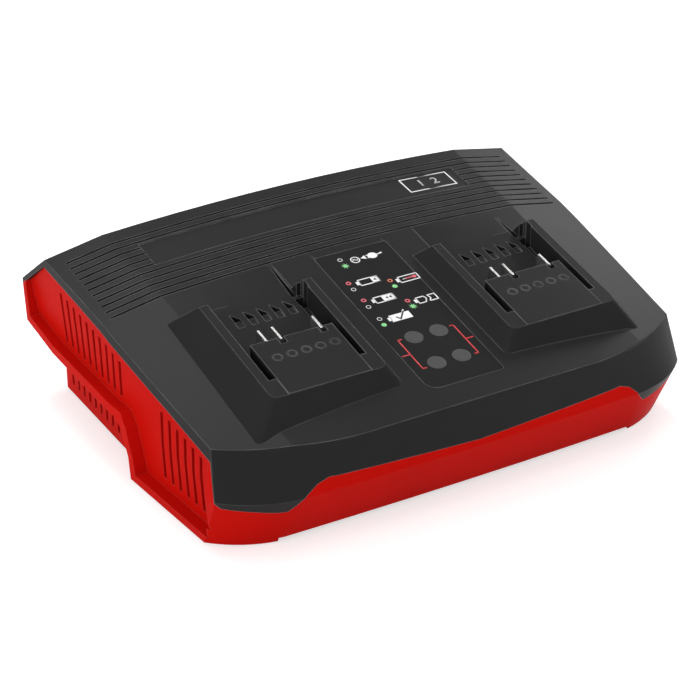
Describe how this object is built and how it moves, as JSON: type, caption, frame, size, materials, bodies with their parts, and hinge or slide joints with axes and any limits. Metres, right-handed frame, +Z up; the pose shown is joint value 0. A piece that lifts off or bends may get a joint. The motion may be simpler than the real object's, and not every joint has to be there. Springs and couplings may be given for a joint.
{
  "type": "power tool battery charger",
  "caption": "Twin-bay charger for slide-on tool battery packs, with a ribbed black cover, a red vented base, a status label and an internal cooling fan.",
  "frame": {"origin": "Middle of the footprint, on the surface the charger stands on.", "axes": "+Z up, -Y the front where the packs slide on, X across the two bays."},
  "size_m": [0.254, 0.2033, 0.0824],
  "materials": {
    "black_abs": "fine-textured moulded plastic, satin",
    "red_abs": "smooth moulded red plastic, semi gloss",
    "printed_film": "screen-printed polyester film, matt",
    "smoked_window": "smoked translucent window, satin",
    "circuit_board": "solder-masked glass-fibre board",
    "indicator_light": "clear moulded light",
    "ribbon_cable": "grey ribbon cable",
    "zinc_screw": "zinc-plated steel",
    "nickel_blade": "nickel-plated brass, bright",
    "black_nylon": "glass-filled nylon",
    "lead_insulation": "wire insulation",
    "ferrite": "sintered ferrite",
    "winding_tape": "yellow winding tape",
    "capacitor_sleeve": "shrink sleeve",
    "bare_aluminium": "extruded, bare",
    "black_epoxy": "moulded epoxy",
    "fuse_body": "ceramic fuse tube",
    "terminal_green": "moulded terminal block",
    "foot_rubber": "soft rubber"
  },
  "bodies": {
    "charger_body": {"base_housing": "red_abs", "bay_leads": "lead_insulation", "board_screws": "zinc_screw", "bridge_rectifier": "black_epoxy", "bulk_capacitors": "capacitor_sleeve", "cable_gland": "black_nylon", "contact_blades_left": "nickel_blade", "contact_blades_right": "nickel_blade", "contact_holder_left": "black_nylon", "contact_holder_right": "black_nylon", "control_label": "printed_film", "cover_screws": "zinc_screw", "display_circuit_board": "circuit_board", "display_ribbon": "ribbon_cable", "display_screws": "zinc_screw", "fan_frame": "black_nylon", "fan_screws": "zinc_screw", "fan_stator": "winding_tape", "gland_nut": "black_nylon", "heat_sinks": "bare_aluminium", "holder_screws": "zinc_screw", "indicator_lights": "indicator_light", "input_choke": "ferrite", "light_windows": "smoked_window", "main_circuit_board": "circuit_board", "mains_fuse": "fuse_body", "mains_terminal": "terminal_green", "output_capacitors": "capacitor_sleeve", "power_transistors": "black_epoxy", "rubber_feet": "foot_rubber", "top_cover": "black_abs", "transformer_core": "ferrite", "transformer_winding": "winding_tape"},
    "rotor": {"fan_rotor": "black_nylon"}
  },
  "joints": [
    {"name": "fan_spin", "type": "hinge", "parent": "charger_body", "child": "rotor", "pos_m": [0, 0.044, 0.0147], "axis": [0, 0, 1], "continuous": true}
  ]
}
